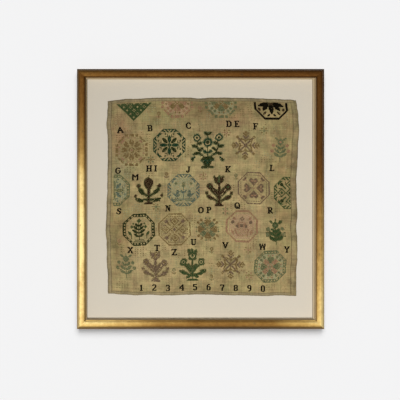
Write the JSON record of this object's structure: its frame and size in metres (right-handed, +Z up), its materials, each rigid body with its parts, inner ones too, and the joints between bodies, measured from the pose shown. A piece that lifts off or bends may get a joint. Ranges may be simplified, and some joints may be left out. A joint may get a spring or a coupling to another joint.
{
  "type": "cross stitch sampler in a picture frame",
  "caption": "Antique linen cross stitch sampler with alphabet and motifs, laid on a cream mount board in a slim gilt wooden frame; hangs on a wall.",
  "frame": {"origin": "centre of the frame's back, on the wall's face", "axes": "+Z up along the frame's height, +X to the viewer's right, +Y into the wall, so the picture faces -Y"},
  "size_m": [0.4326, 0.026, 0.455],
  "materials": {
    "gilt_wood": "worn gold leaf over a brown ground, dark brown outer edge",
    "spacer_card": "matte tan card",
    "mount_card": "matte cream mount board",
    "backing_card": "matte brown backing card",
    "linen": "aged olive tan linen with silk cross stitches"
  },
  "bodies": {
    "root": {"frame_top": "gilt_wood", "frame_bottom": "gilt_wood", "frame_left": "gilt_wood", "frame_right": "gilt_wood", "spacer_top": "spacer_card", "spacer_bottom": "spacer_card", "spacer_left": "spacer_card", "spacer_right": "spacer_card", "mount_board": "mount_card", "backing_board": "backing_card", "sampler_cloth": "linen"}
  },
  "joints": []
}
